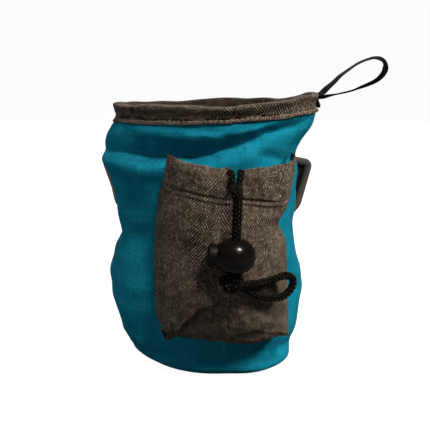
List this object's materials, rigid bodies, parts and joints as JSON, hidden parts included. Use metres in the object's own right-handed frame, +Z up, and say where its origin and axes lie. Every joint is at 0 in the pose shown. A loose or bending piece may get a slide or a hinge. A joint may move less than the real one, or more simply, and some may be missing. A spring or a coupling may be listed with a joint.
{
  "type": "treat pouch",
  "caption": "Lined cloth training-treat pouch with a stiff rim, a drawstring pocket with a sprung cord lock, a ribbon loop and a folded waist belt with a side-release buckle.",
  "frame": {"origin": "on the ground, near the middle of the pouch's flat base", "axes": "+Z up through the mouth, -Y out of the front pocket, +X towards the ribbon loop; the belt is behind, at +Y"},
  "size_m": [0.1982, 0.1863, 0.196],
  "materials": {
    "teal_canvas": "woven cotton canvas",
    "grey_tweed": "marled herringbone weave",
    "black_cord": "braided",
    "black_thread": "dense zigzag stitching",
    "black_webbing": "ribbed webbing",
    "black_ribbon": "grosgrain",
    "lock_plastic": "polished",
    "buckle_plastic": "satin moulded",
    "rim_stiffener": "extruded strip",
    "spring_steel": "drawn wire",
    "tan_leather": "undyed, blank"
  },
  "bodies": {
    "pouch": {"outer_side_panel": "teal_canvas", "outer_base_panel": "teal_canvas", "lining_side_panel": "grey_tweed", "lining_base_panel": "grey_tweed", "rim_band": "grey_tweed", "rim_hoop": "rim_stiffener", "side_tag": "tan_leather", "ribbon_foot": "black_ribbon", "belt_loop_left": "black_webbing", "belt_loop_right": "black_webbing", "bar_tack_left_lower": "black_thread", "bar_tack_left_upper": "black_thread", "bar_tack_right_lower": "black_thread", "bar_tack_right_upper": "black_thread"},
    "ribbon": {"ribbon_loop": "black_ribbon"},
    "pocket": {"pocket_panel": "grey_tweed", "pocket_casing_left": "grey_tweed", "pocket_casing_right": "grey_tweed", "drawcord_left_run": "black_cord", "drawcord_right_run": "black_cord", "drawcord_knot": "black_cord"},
    "cord_lock": {"cord_lock_housing": "lock_plastic", "cord_lock_spring": "spring_steel"},
    "lock_button": {"cord_lock_plunger": "lock_plastic"},
    "tail_loop": {"drawcord_tail_loop": "black_cord"},
    "belt": {"belt_webbing": "black_webbing", "buckle_socket": "buckle_plastic", "belt_keeper": "black_webbing"},
    "plug": {"buckle_plug": "buckle_plastic"},
    "prong_upper": {"buckle_prong_upper": "buckle_plastic"},
    "prong_lower": {"buckle_prong_lower": "buckle_plastic"},
    "slider": {"belt_slider": "buckle_plastic"}
  },
  "joints": [
    {"name": "ribbon_flip", "type": "hinge", "parent": "pouch", "child": "ribbon", "pos_m": [0.08346, -0.00426, 0.17589], "axis": [0, 1, 0], "range_deg": [-60, 75]},
    {"name": "pocket_open", "type": "hinge", "parent": "pouch", "child": "pocket", "pos_m": [0, -0.0606, 0.027], "axis": [1, 0, 0], "range_deg": [0, 8]},
    {"name": "lock_slide", "type": "slide", "parent": "pocket", "child": "cord_lock", "axis": [0.05, 0.0925, 0.9945], "range_m": [0, 0.018]},
    {"name": "button_press", "type": "slide", "parent": "cord_lock", "child": "lock_button", "axis": [0.965, -0.2613, -0.0242], "range_m": [0, 0.0025], "stiffness_N_per_m": 600, "springref_m": -0.003, "deforming": ["cord_lock_spring"]},
    {"name": "tail_loop_swing", "type": "hinge", "parent": "pocket", "child": "tail_loop", "pos_m": [-0.0002, -0.0954, 0.0742], "axis": [0, 1, 0], "range_deg": [-20, 75]},
    {"name": "belt_shift", "type": "slide", "parent": "pouch", "child": "belt", "axis": [0.9781, 0, -0.2079], "range_m": [-0.01, 0.003]},
    {"name": "buckle_release", "type": "slide", "parent": "belt", "child": "plug", "axis": [0.9781, 0, -0.2079], "range_m": [0, 0.032], "deforming": ["belt_webbing", "buckle_prong_upper", "buckle_prong_lower"]},
    {"name": "prong_squeeze_upper", "type": "hinge", "parent": "plug", "child": "prong_upper", "pos_m": [0.0225, 0.0734, 0.12227], "axis": [0, -1, 0], "range_deg": [0, 11]},
    {"name": "prong_squeeze_lower", "type": "hinge", "parent": "plug", "child": "prong_lower", "pos_m": [0.0178, 0.0734, 0.10016], "axis": [0, 1, 0], "range_deg": [0, 11]},
    {"name": "slider_slide", "type": "slide", "parent": "belt", "child": "slider", "axis": [0.9781, 0, -0.2079], "range_m": [-0.018, 0]}
  ],
  "couplings": [
    {"joint": "prong_squeeze_lower", "follows": "prong_squeeze_upper", "ratio": 1}
  ]
}
